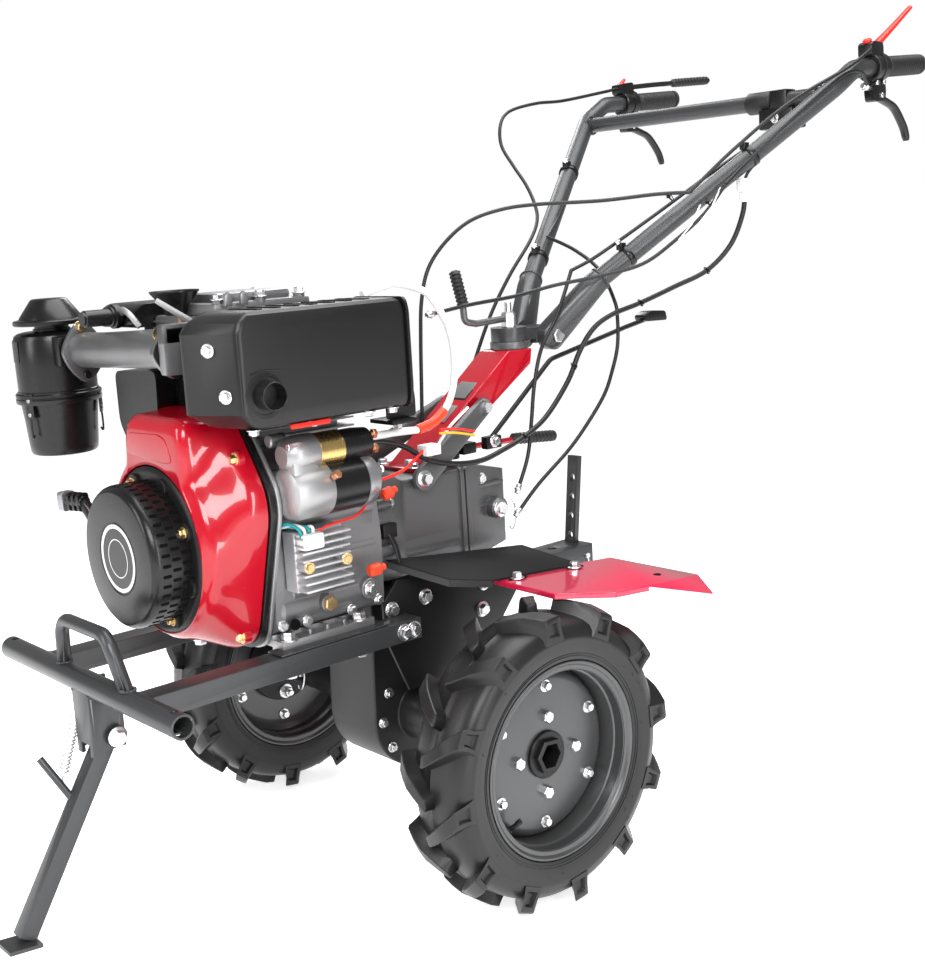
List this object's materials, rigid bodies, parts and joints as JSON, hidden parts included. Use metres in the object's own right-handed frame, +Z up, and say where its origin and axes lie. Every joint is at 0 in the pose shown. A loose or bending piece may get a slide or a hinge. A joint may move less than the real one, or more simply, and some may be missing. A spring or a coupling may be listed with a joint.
{
  "type": "two-wheel tractor",
  "caption": "Walk-behind two-wheel tractor: air-cooled diesel on rails, lugged tyres, front stand, red cowling and swivelling handlebars with cables.",
  "frame": {"origin": "on the ground, under the middle of the wheel axle", "axes": "+X forward, +Y to the machine's left, +Z up"},
  "size_m": [1.7095, 0.812, 1.3994],
  "materials": {
    "frame_grey": "satin",
    "black_paint": "satin",
    "red_paint": "gloss",
    "cast_alloy": "cast",
    "gearbox_grey": "satin",
    "zinc": "plated",
    "tyre": "matte",
    "black_plastic": "satin",
    "rubber": "matte"
  },
  "bodies": {
    "chassis": {"front_cross_tube": "frame_grey", "grab_hoop": "black_paint", "left_rail": "frame_grey", "right_rail": "frame_grey", "stand_bracket": "frame_grey", "stand_spring": "zinc", "engine_base": "cast_alloy", "engine_block": "cast_alloy", "fan_housing_plate": "black_paint", "fan_cowling": "red_paint", "recoil_starter": "black_plastic", "cylinder_head": "cast_alloy", "muffler": "black_paint", "intake_elbow": "cast_alloy", "air_cleaner": "black_plastic", "air_duct": "black_paint", "starter_motor": "black_paint", "voltage_regulator": "cast_alloy", "gearbox": "gearbox_grey", "gearbox_rear_cover": "gearbox_grey", "final_drive_case": "black_paint", "mount_plates": "black_paint", "handlebar_column": "red_paint", "column_struts": "gearbox_grey", "swivel_plate": "gearbox_grey", "clamp_lever": "zinc", "shift_lever": "black_plastic", "selector_lever": "black_plastic", "depth_bar": "black_paint", "hitch_holder": "black_paint", "left_fender": "black_paint", "right_fender": "black_paint", "left_fender_wing": "red_paint", "right_fender_wing": "red_paint", "wiring_harness": "rubber"},
    "left_wheel": {"left_tyre": "tyre", "left_rim": "frame_grey", "left_hub": "black_paint"},
    "right_wheel": {"right_tyre": "tyre", "right_rim": "frame_grey", "right_hub": "black_paint"},
    "stand": {"stand": "frame_grey"},
    "handlebar": {"handlebar_fork": "frame_grey", "left_handle": "frame_grey", "right_handle": "frame_grey", "handle_crossbar": "frame_grey", "hand_grips": "rubber", "left_controls": "black_plastic", "right_controls": "black_plastic", "control_cables": "rubber"}
  },
  "joints": [
    {"name": "left_wheel_spin", "type": "hinge", "parent": "chassis", "child": "left_wheel", "pos_m": [0, 0.321, 0.219], "axis": [0, 1, 0], "continuous": true},
    {"name": "right_wheel_spin", "type": "hinge", "parent": "chassis", "child": "right_wheel", "pos_m": [0, -0.321, 0.219], "axis": [0, 1, 0], "continuous": true},
    {"name": "stand_fold", "type": "hinge", "parent": "chassis", "child": "stand", "pos_m": [0.49577, 0, 0.261], "axis": [0, 1, 0], "range_deg": [0, 100], "deforming": ["stand_spring"]},
    {"name": "handlebar_swivel", "type": "hinge", "parent": "chassis", "child": "handlebar", "pos_m": [-0.22293, 0, 0.77934], "axis": [0.1115, 0, 0.9938], "range_deg": [-30, 30], "deforming": ["control_cables", "wiring_harness"]}
  ]
}
